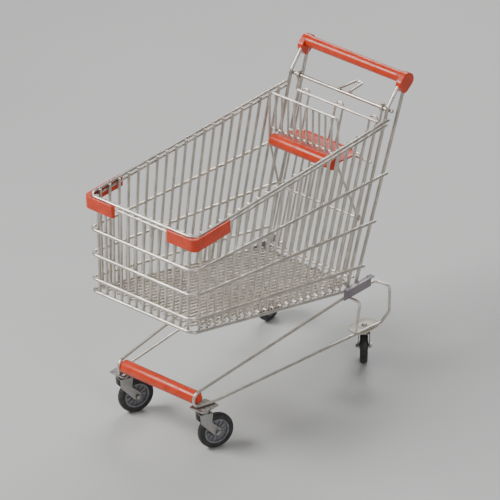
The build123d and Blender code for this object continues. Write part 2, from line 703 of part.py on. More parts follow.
def make_tyre(base, label):
    """The solid rubber tyre round the disc."""
    with BuildPart() as tyre:
        with BuildSketch(side_plane(base, -TYRE_WIDTH / 2)):
            with Locations((TRAIL, WHEEL_RADIUS)):
                Circle(WHEEL_RADIUS)
                Circle(DISC_RADIUS, mode=Mode.SUBTRACT)
        extrude(amount=-TYRE_WIDTH)
        treads = tyre.edges().filter_by(GeomType.CIRCLE).group_by(lambda e: round(e.radius))[-1]
        fillet(treads, radius=TYRE_SHOULDER)
    save(tyre, label)


def make_castors():
    """All four castors."""
    front_x, front_y = FRONT_SWIVEL
    rear_x, rear_y = REAR_SWIVEL
    castors = {"front_left": (-front_x, front_y, FRONT_TRAIL_ANGLE),
               "front_right": (front_x, front_y, FRONT_TRAIL_ANGLE),
               "rear_left": (-rear_x, rear_y, REAR_LEFT_TRAIL_ANGLE),
               "rear_right": (rear_x, rear_y, REAR_RIGHT_TRAIL_ANGLE)}
    for corner, place in castors.items():
        base = castor_plane(*place)
        make_fork(base, f"{corner}_fork")
        make_axle(base, f"{corner}_axle_bolt")
        make_wheel(base, f"{corner}_wheel")
        make_tyre(base, f"{corner}_tyre")


# ================================================================ gate
def make_gate():
    """The rear gate: a top wire curled round the crossbar, hairpin posts, upright and cross wires."""
    eye = (CROSSBAR_WIRE + GATE_WIRE) / 2 + EYE_CLEARANCE
    corners = [gate_point(-GATE_HALF, eye), gate_point(-GATE_HALF, GATE_TOP_DOWN),
               gate_point(GATE_HALF, GATE_TOP_DOWN), gate_point(GATE_HALF, eye)]
    with BuildPart() as top_wire:
        with BuildLine() as path:
            FilletPolyline(*corners, radius=GATE_WIRE)
        with BuildSketch(Plane(origin=path.line @ 0, z_dir=path.line % 0)):
            Circle(GATE_WIRE / 2)
        sweep(path=path.line)
        with Locations((-GATE_HALF, CROSSBAR_Y, CROSSBAR_Z), (GATE_HALF, CROSSBAR_Y, CROSSBAR_Z)):
            Torus(eye, GATE_WIRE / 2, rotation=(0, 90, 0))
    save(top_wire, "gate_top_wire")

    layer = (GATE_WIRE + GATE_MESH_WIRE) / 2
    foot = GATE_BOTTOM_DOWN + GATE_WIRE
    crest = GATE_TOP_DOWN - GATE_WIRE / 2 - GATE_MESH_WIRE
    with BuildPart() as posts:
        for x in (-POST_X, 0, POST_X):
            left = x - POST_WIDTH / 2
            right = x + POST_WIDTH / 2
            with BuildLine() as path:
                FilletPolyline(gate_point(left, foot, layer), gate_point(left, crest, layer),
                               gate_point(right, crest, layer), gate_point(right, foot, layer),
                               radius=POST_WIDTH / 2 - 1)
            with BuildSketch(Plane(origin=path.line @ 0, z_dir=path.line % 0)):
                Circle(GATE_MESH_WIRE / 2)
            sweep(path=path.line)
    save(posts, "gate_posts")

    field = POST_X - POST_WIDTH
    count = round(field / GATE_MESH_PITCH)
    ends = []
    for side in (-1, 1):
        for i in range(count - 1):
            x = side * (POST_WIDTH / 2 + (i + 1) * field / count)
            ends.append((gate_point(x, foot, layer), gate_point(x, GATE_SEAT_DOWN - GATE_WIRE, layer)))
    save(straight_wires(ends, GATE_MESH_WIRE), "gate_upright_wires")

    runs = [(gate_point(-GATE_HALF, down), gate_point(GATE_HALF, down))
            for down in (GATE_SEAT_DOWN, GATE_MIDDLE_DOWN, GATE_BOTTOM_DOWN)]
    save(straight_wires(runs, GATE_WIRE), "gate_cross_wires")


# ================================================================ child seat
def make_seat():
    """The plastic seat plate with a rolled front lip, and the wire it hinges on."""
    _, hinge_y, hinge_z = gate_point(0, SEAT_HINGE_DOWN, -SEAT_HINGE_OUT)
    tilt = radians(SEAT_TILT)
    seat_plane = Plane(origin=(0, hinge_y, hinge_z), x_dir=(1, 0, 0), z_dir=(0, sin(tilt), cos(tilt)))
    boss = SEAT_WIRE / 2 + SEAT_SHEET * 0.75
    with BuildPart() as seat:
        with BuildSketch(seat_plane.offset(-SEAT_SHEET / 2)) as outline:
            with Locations((0, -SEAT_DEPTH / 2)):
                Rectangle(2 * SEAT_HALF, SEAT_DEPTH)
            fillet(outline.vertices().group_by(Axis.Y)[-1], radius=SEAT_DEPTH / 4)
        extrude(amount=SEAT_SHEET)
        side_view = Plane(origin=seat_plane.from_local_coords((-SEAT_HALF, 0, 0)),
                          x_dir=-seat_plane.y_dir, z_dir=(1, 0, 0))
        with BuildSketch(side_view):
            with Locations((SEAT_DEPTH, 0)):
                Circle(SEAT_LIP / 2)
        extrude(amount=2 * SEAT_HALF)
        barrel_view = Plane(origin=(-SEAT_HALF + SEAT_DEPTH / 4, hinge_y, hinge_z), z_dir=(1, 0, 0))
        with BuildSketch(barrel_view):
            Circle(boss)
        extrude(amount=2 * SEAT_HALF - SEAT_DEPTH / 2)
        with BuildSketch(barrel_view.offset(-SEAT_DEPTH / 4)):
            Circle(SEAT_WIRE / 2 + SEAT_RUNNING)
        extrude(amount=2 * SEAT_HALF, mode=Mode.SUBTRACT)
    save(seat, "seat_plate")

    arm_x = SEAT_HALF + SEAT_WIRE
    pivot = (hinge_y, hinge_z)
    root = gate_point(arm_x, SEAT_HINGE_DOWN + SEAT_WIRE_FOOT, -(GATE_WIRE + SEAT_WIRE) / 2)
    corners = [(-arm_x, root[1], root[2]), (-arm_x, *pivot),
               (arm_x, *pivot), (arm_x, root[1], root[2])]
    save(bent_wire(corners, SEAT_WIRE * 0.8, SEAT_WIRE), "seat_hinge_wire")


def make_backrest():
    """The wire backrest: a bent frame with curled feet, a lower wire and upright wires."""
    pivot = gate_point(0, BACK_PIVOT_DOWN, 0)
    eye = (GATE_WIRE + SEAT_WIRE) / 2 + EYE_CLEARANCE
    arm_x = GATE_HALF - SEAT_WIRE + WELD_BITE
    reach = (BACK_TOP_Y - pivot[1], BACK_BEND_Z - pivot[2])
    span = (reach[0] ** 2 + reach[1] ** 2) ** 0.5
    start = (pivot[1] + reach[0] * eye / span, pivot[2] + reach[1] * eye / span)
    half = [(arm_x, *start), (BACK_HALF, BACK_TOP_Y, BACK_BEND_Z), (BACK_HALF, BACK_TOP_Y, BACK_TOP_Z)]
    corners = [(-x, y, z) for x, y, z in half] + half[::-1]
    with BuildPart() as frame:
        with BuildLine() as path:
            FilletPolyline(*corners, radius=SEAT_WIRE * 2)
        with BuildSketch(Plane(origin=path.line @ 0, z_dir=path.line % 0)):
            Circle(SEAT_WIRE / 2)
        sweep(path=path.line)
        with Locations((-arm_x, pivot[1], pivot[2]), (arm_x, pivot[1], pivot[2])):
            Torus(eye, SEAT_WIRE / 2, rotation=(0, 90, 0))
    save(frame, "backrest_frame")

    behind = BACK_TOP_Y + SEAT_WIRE
    half = BACK_HALF + SEAT_WIRE / 2
    low = ((-half, behind, BACK_LOWER_Z), (half, behind, BACK_LOWER_Z))
    save(straight_wires([low], SEAT_WIRE), "backrest_lower_wire")
    pitch = 2 * BACK_HALF / (BACK_WIRES + 1)
    ends = []
    for i in range(1, BACK_WIRES + 1):
        x = -BACK_HALF + i * pitch
        ends.append(((x, BACK_TOP_Y, BACK_LOWER_Z - SEAT_WIRE / 2),
                     (x, BACK_TOP_Y, BACK_TOP_Z - SEAT_WIRE / 2)))
    save(straight_wires(ends, SEAT_WIRE), "backrest_upright_wires")


os.makedirs("parts", exist_ok=True)
make_basket_hoops()
make_side_wires(-1, "basket_left_wires")
make_side_wires(1, "basket_right_wires")
make_front_wires()
make_floor_wires()
make_gate_stop()
make_corner_bumper(-1, "corner_bumper_left")
make_corner_bumper(1, "corner_bumper_right")
left_upright = make_upright(-1, "upright_left")
right_upright = make_upright(1, "upright_right")
handle_core = make_handle_core()
make_handle_sleeve()
make_handle_cap(-1, "handle_cap_left", left_upright, handle_core)
make_handle_cap(1, "handle_cap_right", right_upright, handle_core)
make_crossbar()
make_bag_hook()
make_chassis_loop(-1, "chassis_loop_left")
make_chassis_loop(1, "chassis_loop_right")
make_stay(-1, "chassis_stay_left")
make_stay(1, "chassis_stay_right")
make_bracket(-1, "bracket_left")
make_bracket(1, "bracket_right")
make_front_bumper()
make_castor_mounts()
make_castors()
make_gate()
make_seat()
make_backrest()
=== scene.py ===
"""Looks of a supermarket shopping cart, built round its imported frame. Metres, +Z up."""

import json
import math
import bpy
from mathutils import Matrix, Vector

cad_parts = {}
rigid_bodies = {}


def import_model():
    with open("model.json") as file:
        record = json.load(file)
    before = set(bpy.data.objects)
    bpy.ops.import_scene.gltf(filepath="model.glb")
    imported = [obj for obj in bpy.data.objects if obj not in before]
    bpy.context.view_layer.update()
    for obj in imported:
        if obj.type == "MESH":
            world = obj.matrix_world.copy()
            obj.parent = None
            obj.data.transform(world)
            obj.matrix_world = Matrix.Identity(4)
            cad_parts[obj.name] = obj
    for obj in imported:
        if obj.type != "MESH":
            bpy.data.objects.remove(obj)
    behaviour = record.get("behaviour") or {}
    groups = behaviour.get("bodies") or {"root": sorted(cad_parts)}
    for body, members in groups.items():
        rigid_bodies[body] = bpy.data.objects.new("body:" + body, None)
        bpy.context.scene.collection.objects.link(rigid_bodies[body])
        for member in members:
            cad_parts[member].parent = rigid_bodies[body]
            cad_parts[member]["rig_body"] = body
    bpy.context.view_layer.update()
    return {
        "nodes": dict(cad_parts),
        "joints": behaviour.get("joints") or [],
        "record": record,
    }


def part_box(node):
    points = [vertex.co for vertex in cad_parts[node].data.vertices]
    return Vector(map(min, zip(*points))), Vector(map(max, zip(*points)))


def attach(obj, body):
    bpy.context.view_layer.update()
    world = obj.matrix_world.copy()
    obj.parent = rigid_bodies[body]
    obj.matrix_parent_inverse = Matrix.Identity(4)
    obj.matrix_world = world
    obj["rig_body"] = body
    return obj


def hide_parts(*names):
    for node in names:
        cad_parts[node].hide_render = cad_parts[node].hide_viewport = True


bl_info = {
    "name": "Shopping Cart",
    "version": (1, 0, 0),
    "blender": (4, 5, 0),
    "location": "View3D > Sidebar > Cart",
    "description": "Builds the finished pieces of a wire shopping cart",
    "category": "Object",
}

import bpy
from bpy.props import FloatProperty, FloatVectorProperty, PointerProperty
from mathutils import Matrix, Vector

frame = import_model()
RIBS = 12
CORNERS = ("front_left", "front_right", "rear_left", "rear_right")
FINISHES = {}
SLOTS = {part["node"]: part["material_slot"] for part in frame["record"]["subparts"]}


# ---------------------------------------------------------------- settings
def length(name, description, default):
    return FloatProperty(name=name, description=description, default=default,
                         unit="LENGTH", precision=5)


def angle(name, description, degrees):
    return FloatProperty(name=name, description=description, default=math.radians(degrees),
                         subtype="ANGLE")


def colour(name, description, default):
    return FloatVectorProperty(name=name, description=description, default=default,
                               size=3, min=0.0, max=1.0, subtype="COLOR")


def share(name, description, default):
    return FloatProperty(name=name, description=description, default=default,
                         min=0.0, max=1.0, subtype="FACTOR")


class CartSizes(bpy.types.PropertyGroup):
    sheet_edge: length("Sheet edge", "Rounding of the pressed sheet's edges", 0.0007)
    plastic_edge: length("Moulded edge", "Rounding of the seat's edges", 0.0018)
    grip_flare: length("Grip flare", "How far the grip swells at each end", 0.0024)
    grip_flare_length: length("Flare length", "Length over which the grip swells", 0.026)
    plug_dome: length("Plug dome", "How far the tube's plugs are domed", 0.006)
    rivet: length("Rivet head", "Radius of the rivet heads on the castor plates", 0.0095)
    weld: length("Weld", "Radius of a weld's ripples", 0.0028)
    rib_width: length("Wheel rib", "Thickness of the ribs in a wheel's web", 0.0026)


class CartColours(bpy.types.PropertyGroup):
    orange: colour("Orange", "Moulded plastic of the handle, guards, tube and seat",
                   (0.66, 0.040, 0.0025))
    wire: colour("Wire", "Bright plated wire", (0.70, 0.655, 0.59))
    zinc: colour("Zinc", "Plated castor steel", (0.40, 0.39, 0.37))
    bracket: colour("Bracket", "Enamel of the two brackets", (0.235, 0.20, 0.225))
    cream: colour("Plate", "Enamel of the castor plates", (0.60, 0.54, 0.43))
    disc: colour("Disc", "Moulded wheel disc", (0.20, 0.20, 0.215))
    rubber: colour("Rubber", "Tyre", (0.014, 0.014, 0.015))
    floor: colour("Floor", "Studio floor", (0.56, 0.56, 0.55))


class CartStage(bpy.types.PropertyGroup):
    around: angle("Around", "Camera's turn from the front", 40.64)
    above: angle("Above", "Camera's height angle", 28.87)
    roll: angle("Roll", "Camera's roll", 0.36)
    distance: length("Distance", "Camera's distance", 20.0)
    lens: FloatProperty(name="Lens", description="Focal length in millimetres", default=440.55)
    aim: FloatVectorProperty(name="Aim", description="Point the camera looks at", size=3,
                             default=(0.0313, -0.0469, 0.5267),
                             subtype="TRANSLATION", unit="LENGTH")
    key: FloatProperty(name="Key light", description="Power of the key light in watts",
                       default=290.0)
    fill: FloatProperty(name="Fill light", description="Power of the fill light in watts",
                        default=60.0)
    back: FloatProperty(name="Back light", description="Power of the light behind in watts",
                        default=120.0)
    sky: share("Room", "Brightness of the room round the stage", 0.25)


# ---------------------------------------------------------------- shader maths
class Value:
    """A number that varies over a surface. Sums and products of values add Math nodes."""

    def __init__(self, finish, socket):
        self.finish = finish
        self.socket = socket

    def _maths(self, operation, first, second):
        node = self.finish.node("ShaderNodeMath", {"operation": operation}, {0: first, 1: second})
        return Value(self.finish, node.outputs[0])

    def __add__(self, other):
        return self._maths("ADD", self, other)

    __radd__ = __add__

    def __mul__(self, other):
        return self._maths("MULTIPLY", self, other)

    __rmul__ = __mul__

    def __sub__(self, other):
        return self._maths("SUBTRACT", self, other)

    def __rsub__(self, other):
        return self._maths("SUBTRACT", other, self)


class Finish:
    """One procedural material, with the few pattern makers that the finishes share."""

    def __init__(self, name, **even):
        self.material = bpy.data.materials.new(name)
        self.material.use_nodes = True
        self.tree = self.material.node_tree
        self.shader = self.tree.nodes["Principled BSDF"]
        for socket, value in even.items():
            self.shader.inputs[socket.replace("_", " ")].default_value = value
        self.place = self.node("ShaderNodeTexCoord").outputs["Object"]

    def node(self, kind, settings=None, inputs=None):
        """A new node of this kind, its settings first and then its sockets."""
        node = self.tree.nodes.new(kind)
        for key, value in (settings or {}).items():
            setattr(node, key, value)
        for key, value in (inputs or {}).items():
            self.feed(node.inputs[key], value)
        return node

    def feed(self, socket, value):
        """Link a varying value to the socket, or set a plain one on it."""
        if isinstance(value, Value):
            value = value.socket
        if isinstance(value, bpy.types.NodeSocket):
            self.tree.links.new(value, socket)
        elif isinstance(value, (tuple, list)) and socket.type == "RGBA":
            socket.default_value = (*value[:3], 1.0)
        else:
            socket.default_value = value

    def stretched(self, scale):
        node = self.node("ShaderNodeMapping", None, {"Vector": self.place, "Scale": scale})
        return node.outputs[0]

    def noise(self, scale, detail=3.0, stretch=None):
        where = self.stretched(stretch) if stretch else self.place
        node = self.node("ShaderNodeTexNoise", None,
                         {"Vector": where, "Scale": scale, "Detail": detail, "Roughness": 0.55})
        return Value(self, node.outputs[0])

    def cells(self, scale):
        node = self.node("ShaderNodeTexVoronoi", {"feature": "F1"},
                         {"Vector": self.place, "Scale": scale})
        grey = self.node("ShaderNodeSeparateColor", None, {0: node.outputs["Color"]})
        return Value(self, grey.outputs[0])

    def step(self, value, low, high, bottom=0.0, top=1.0):
        """value mapped smoothly from low..high to bottom..top."""
        node = self.node("ShaderNodeMapRange", {"interpolation_type": "SMOOTHSTEP"},
                         {0: value, 1: low, 2: high, 3: bottom, 4: top})
        return Value(self, node.outputs[0])

    def facing(self, axis):
        """How far the surface faces along the axis, from 0 away to 1 towards it."""
        normal = self.node("ShaderNodeNewGeometry").outputs["Normal"]
        dot = self.node("ShaderNodeVectorMath", {"operation": "DOT_PRODUCT"}, {0: normal, 1: axis})
        return Value(self, dot.outputs["Value"]) * 0.5 + 0.5

    def height(self):
        split = self.node("ShaderNodeSeparateXYZ", None, {0: self.place})
        return Value(self, split.outputs[2])

    def blend(self, amount, under, over):
        node = self.node("ShaderNodeMix", {"data_type": "RGBA"}, {0: amount, 6: under, 7: over})
        return node.outputs[2]

    def bump(self, height, depth, below=None):
        inputs = {"Height": height, "Distance": depth, "Strength": 1.0}
        if below is not None:
            inputs["Normal"] = below
        return self.node("ShaderNodeBump", None, inputs).outputs[0]

    def wear(self, **varying):
        for socket, value in varying.items():
            self.feed(self.shader.inputs[socket.replace("_", " ")], value)
        return self.material


def tint(base, factor):
    return tuple(min(1.0, c * factor) for c in base)


def plated_wire(name, base, roughness):
    """Bright plated wire: die lines, cloudy lacquer, a little dull dust on top."""
    f = Finish(name)
    cloud = f.noise(19.0, 4.0)
    fine = f.noise(620.0, 3.0)
    drawn = f.noise(1500.0, 2.0)
    dull = f.step(f.noise(58.0, 4.0), 0.50, 0.74)
    spot = f.step(f.noise(240.0, 2.0), 0.70, 0.80)
    dust = f.step(f.facing((0.0, 0.0, 1.0)), 0.62, 1.0) * f.step(f.noise(34.0, 4.0), 0.42, 0.68)
    paint = f.blend(f.step(cloud, 0.35, 0.68), tint(base, 0.86), tint(base, 1.10))
    paint = f.blend(dull * 0.45, paint, tint((base[0], base[1] * 0.95, base[2] * 0.86), 0.70))
    paint = f.blend(spot * 0.55, paint, (0.20, 0.165, 0.125))
    paint = f.blend(dust * 0.25, paint, (0.50, 0.48, 0.45))
    relief = f.bump(fine * 0.6 + drawn * 0.4, 0.00007)
    relief = f.bump(f.noise(95.0, 2.0), 0.00035, relief)
    return f.wear(Base_Color=paint, Normal=relief, Metallic=1.0 - (dust * 0.22 + spot * 0.5),
                  Roughness=roughness + dull * 0.14 + dust * 0.16 + (fine - 0.5) * 0.10)


def moulded_orange(name, base):
    """Glossy moulded plastic: soft mottling, fine texture, rubbed and scratched patches."""
    f = Finish(name, IOR=1.45, Coat_Roughness=0.16)
    mottle = f.noise(26.0, 4.0)
    skin = f.noise(900.0, 2.0)
    hair = f.step(f.noise(70.0, 5.0, (1.0, 9.0, 9.0)), 0.63, 0.70)
    cross = f.step(f.noise(80.0, 5.0, (9.0, 1.2, 9.0)), 0.66, 0.72)
    rub = f.step(f.noise(21.0, 5.0), 0.54, 0.72)
    soil = f.step(f.noise(44.0, 5.0), 0.58, 0.76)
    dust = f.step(f.facing((0.0, 0.0, 1.0)), 0.60, 1.0) * f.step(f.noise(15.0, 4.0), 0.40, 0.72)
    paint = f.blend(f.step(mottle, 0.30, 0.70), tint(base, 0.84), tint(base, 1.08))
    paint = f.blend(soil * 0.34, paint, (0.22, 0.035, 0.012))
    paint = f.blend((hair + cross) * 0.20, paint, (0.76, 0.15, 0.05))
    paint = f.blend(dust * 0.02, paint, (0.60, 0.46, 0.38))
    relief = f.bump(skin, 0.00006)
    relief = f.bump(f.noise(55.0, 2.0), 0.0006, relief)
    relief = f.bump((hair + cross) * -1.0, 0.00008, relief)
    return f.wear(Base_Color=paint, Normal=relief, Coat_Weight=0.30 - rub * 0.22,
                  Roughness=0.33 + rub * 0.17 + soil * 0.10 + dust * 0.12 + (hair + cross) * 0.16)


def zinc_sheet(name, base, roughness=0.36):
    """Zinc plated pressed steel: faint crystals, rolled lines, dark grime in patches."""
    f = Finish(name, Metallic=1.0)
    crystal = f.cells(330.0)
    rolled = f.noise(60.0, 4.0, (1.0, 1.0, 14.0))
    grime = f.step(f.noise(75.0, 5.0), 0.54, 0.74)
    low = f.step(f.height(), 0.03, 0.14, 1.0, 0.25)
    paint = f.blend(crystal * 0.5, tint(base, 0.88),
                    tint((base[0], base[1], base[2] * 1.06), 1.12))
    paint = f.blend(grime * low * 0.75, paint, (0.085, 0.075, 0.062))
    relief = f.bump(crystal * 0.4 + rolled * 0.6, 0.00008)
    relief = f.bump(f.noise(130.0, 3.0), 0.0003, relief)
    return f.wear(Base_Color=paint, Normal=relief, Metallic=1.0 - grime * low * 0.5,
                  Roughness=roughness + crystal * 0.10 + grime * 0.22 + (rolled - 0.5) * 0.14)


def enamelled(name, base, bare, roughness=0.38):
    """Sprayed enamel with orange peel, chipped through to steel in small patches."""
    f = Finish(name, IOR=1.5, Coat_Roughness=0.22)
    peel = f.noise(340.0, 2.0)
    tone = f.noise(24.0, 4.0)
    chips = f.step(f.noise(150.0, 4.0), 0.655, 0.69)
    rim = f.step(f.noise(150.0, 4.0), 0.625, 0.66) - chips
    dirt = f.step(f.noise(48.0, 5.0), 0.50, 0.76)
    paint = f.blend(f.step(tone, 0.32, 0.68), tint(base, 0.88), tint(base, 1.08))
    paint = f.blend(dirt * 0.40, paint, tint((base[0], base[1] * 0.88, base[2] * 0.74), 0.50))
    paint = f.blend(rim * 0.5, paint, tint(base, 0.5))
    paint = f.blend(chips * 0.9, paint, bare)
    relief = f.bump(peel, 0.00012)
    relief = f.bump(chips * -1.0, 0.00012, relief)
    return f.wear(Base_Color=paint, Normal=relief, Metallic=chips * 0.9,
                  Coat_Weight=0.35 - chips * 0.35,
                  Roughness=roughness + dirt * 0.20 - chips * 0.05 + (peel - 0.5) * 0.08)


def rolled_rubber(name, base):
    """Solid rubber, greyed with floor dust on the tread and in the mould's pores."""
    f = Finish(name, IOR=1.5)
    pores = f.noise(760.0, 3.0)
    cloud = f.noise(46.0, 5.0)
    scuff = f.step(f.noise(120.0, 5.0), 0.55, 0.72)
    paint = f.blend(f.step(cloud, 0.36, 0.70) * 0.8, base, (0.045, 0.042, 0.038))
    paint = f.blend(scuff * 0.34, paint, (0.115, 0.108, 0.098))
    relief = f.bump(pores, 0.00016)
    relief = f.bump(f.noise(150.0, 4.0), 0.0004, relief)
    return f.wear(Base_Color=paint, Normal=relief,
                  Roughness=0.50 + scuff * 0.2 + (pores - 0.5) * 0.16)


def moulded_grey(name, base):
    """Mid grey nylon of the wheel discs, with a fine spark texture and ground-in dust."""
    f = Finish(name, IOR=1.5)
    spark = f.noise(1100.0, 2.0)
    cloud = f.noise(60.0, 4.0)
    dirt = f.step(f.noise(95.0, 5.0), 0.50, 0.74)
    paint = f.blend(f.step(cloud, 0.35, 0.66), tint(base, 0.88), tint(base, 1.15))
    paint = f.blend(dirt * 0.5, paint, (0.060, 0.054, 0.046))
    relief = f.bump(spark, 0.00008)
    return f.wear(Base_Color=paint, Normal=relief,
                  Roughness=0.40 + dirt * 0.22 + (spark - 0.5) * 0.1)


def finishes(colours):
    """Make every material slot's finish and keep it by slot name."""
    steel = (0.36, 0.34, 0.31)
    wire = tuple(colours.wire)
    makers = {
        "basket_wire": lambda n: plated_wire(n, wire, 0.33),
        "gate_wire": lambda n: plated_wire(n, tint(wire, 1.03), 0.35),
        "upright_wire": lambda n: plated_wire(n, tint(wire, 0.90), 0.32),
        "chassis_wire": lambda n: plated_wire(n, tint(wire, 1.06), 0.34),
        "core_steel": lambda n: zinc_sheet(n, tuple(colours.zinc), 0.42),
        "castor_steel": lambda n: zinc_sheet(n, tuple(colours.zinc)),
        "bolt_steel": lambda n: zinc_sheet(n, tint(tuple(colours.zinc), 0.9), 0.30),
        "orange_plastic": lambda n: moulded_orange(n, tuple(colours.orange)),
        "bracket_steel": lambda n: enamelled(n, tuple(colours.bracket), steel),
        "plate_enamel": lambda n: enamelled(n, tuple(colours.cream), steel, 0.42),
        "wheel_disc": lambda n: moulded_grey(n, tuple(colours.disc)),
        "tyre_rubber": lambda n: rolled_rubber(n, tuple(colours.rubber)),
    }
    for slot in sorted(set(SLOTS.values())):
        FINISHES[slot] = makers[slot](slot + "_finish")
    return FINISHES


# ---------------------------------------------------------------- modelling helpers
def only(obj):
    """Deselect everything and take obj alone."""
    bpy.ops.object.select_all(action="DESELECT")
    obj.select_set(True)
    bpy.context.view_layer.objects.active = obj


def edit(obj):
    only(obj)
    bpy.ops.object.mode_set(mode="EDIT")


def done():
    bpy.ops.object.mode_set(mode="OBJECT")


def select_ends(obj):
    """Select the two end faces of a cylinder that stands on Z."""
    bpy.context.tool_settings.mesh_select_mode = (False, False, True)
    for group in (obj.data.vertices, obj.data.edges, obj.data.polygons):
        for item in group:
            item.select = False
    for face in obj.data.polygons:
        face.select = abs(face.normal.z) > 0.99


def turned(name, radius, depth, steps, bored=True, sides=96):
    """A turned piece about Z.

    Each step insets both ends, or outsets them if it is negative, and then pushes them out.
    """
    bpy.ops.object.select_all(action="DESELECT")
    bpy.ops.mesh.primitive_cylinder_add(vertices=sides, radius=radius, depth=depth,
                                        end_fill_type="NGON")
    obj = bpy.context.object
    obj.name = name
    select_ends(obj)
    bpy.ops.object.mode_set(mode="EDIT")
    bpy.ops.mesh.select_mode(type="FACE")
    for inward, outward in steps:
        bpy.ops.mesh.inset(thickness=max(inward, 0.0), depth=outward)
        if inward < 0.0:
            growth = (radius - inward) / radius
            bpy.ops.transform.resize(value=(growth, growth, 1.0),
                                     center_override=(0.0, 0.0, 0.0))
        radius -= inward
    if bored:
        bpy.ops.mesh.bridge_edge_loops()
    bpy.ops.mesh.select_all(action="SELECT")
    bpy.ops.mesh.normals_make_consistent(inside=False)
    done()
    return obj


def quarter(count):
    """A quarter turn in count steps, each as the angles it starts and ends at."""
    turns = [math.pi / 2 * i / count for i in range(count + 1)]
    return zip(turns, turns[1:])


def rounded(radius, count=5):
    """Inset steps of a quarter-round shoulder."""
    return [(radius * (math.cos(a) - math.cos(b)), radius * (math.sin(b) - math.sin(a)))
            for a, b in quarter(count)]


def domed(radius, rise, count=6):
    """Inset steps of a dome that leaves a small flat in its middle."""
    span = 0.97 * radius
    return [(span * (math.cos(a) - math.cos(b)), rise * (math.sin(b) - math.sin(a)))
            for a, b in quarter(count)]


def place(obj, centre, axis):
    """Turn obj's Z to the axis, move it to centre, and put both into its mesh."""
    turn = Vector((0.0, 0.0, 1.0)).rotation_difference(Vector(axis)).to_matrix().to_4x4()
    obj.matrix_world = Matrix.Translation(Vector(centre)) @ turn
    only(obj)
    bpy.ops.object.transform_apply(location=True, rotation=True, scale=True)
    return obj


def copied(obj, name):
    twin = bpy.data.objects.new(name, obj.data.copy())
    bpy.context.scene.collection.objects.link(twin)
    return twin


def joined(parts):
    """Join the parts into the first of them."""
    only(parts[0])
    for part in parts:
        part.select_set(True)
    bpy.ops.object.join()
    return parts[0]


def smooth(obj, degrees=32.0):
    only(obj)
    bpy.ops.object.shade_smooth_by_angle(angle=math.radians(degrees))


def finish_piece(obj, node, degrees=32.0):
    """Give obj the node's finish and body, and let it stand for the node."""
    slot = SLOTS[node]
    obj.data.materials.clear()
    obj.data.materials.append(FINISHES[slot])
    smooth(obj, degrees)
    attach(obj, frame["nodes"][node]["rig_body"])
    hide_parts(node)
    return obj


def middle(node):
    low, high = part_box(node)
    return (low + high) / 2


def softened(node, edge, segments=3, degrees=35.0):
    """A copy of a CAD piece with its sharp edges rounded."""
    weld_gap, flat_angle = 1e-6, 1.0
    obj = bpy.data.objects.new(node + "_shaped", frame["nodes"][node].data.copy())
    bpy.context.scene.collection.objects.link(obj)
    edit(obj)
    bpy.ops.mesh.customdata_custom_splitnormals_clear()
    bpy.ops.mesh.select_all(action="SELECT")
    bpy.ops.mesh.remove_doubles(threshold=weld_gap)
    bpy.ops.mesh.dissolve_limited(angle_limit=math.radians(flat_angle))
    bpy.ops.mesh.select_all(action="SELECT")
    bpy.ops.mesh.mark_sharp(clear=True)
    done()
    bevel = obj.modifiers.new("edge", "BEVEL")
    bevel.width = edge
    bevel.segments = segments
    bevel.limit_method = "ANGLE"
    bevel.angle_limit = math.radians(degrees)
    bevel.use_clamp_overlap = True
    only(obj)
    bpy.ops.object.modifier_apply(modifier=bevel.name)
    return finish_piece(obj, node)


def joint(name):
    """The joint's place and axis."""
    found = next(j for j in frame["joints"] if j["name"] == name)
    return Vector(found["pos_m"]), Vector(found["axis"])


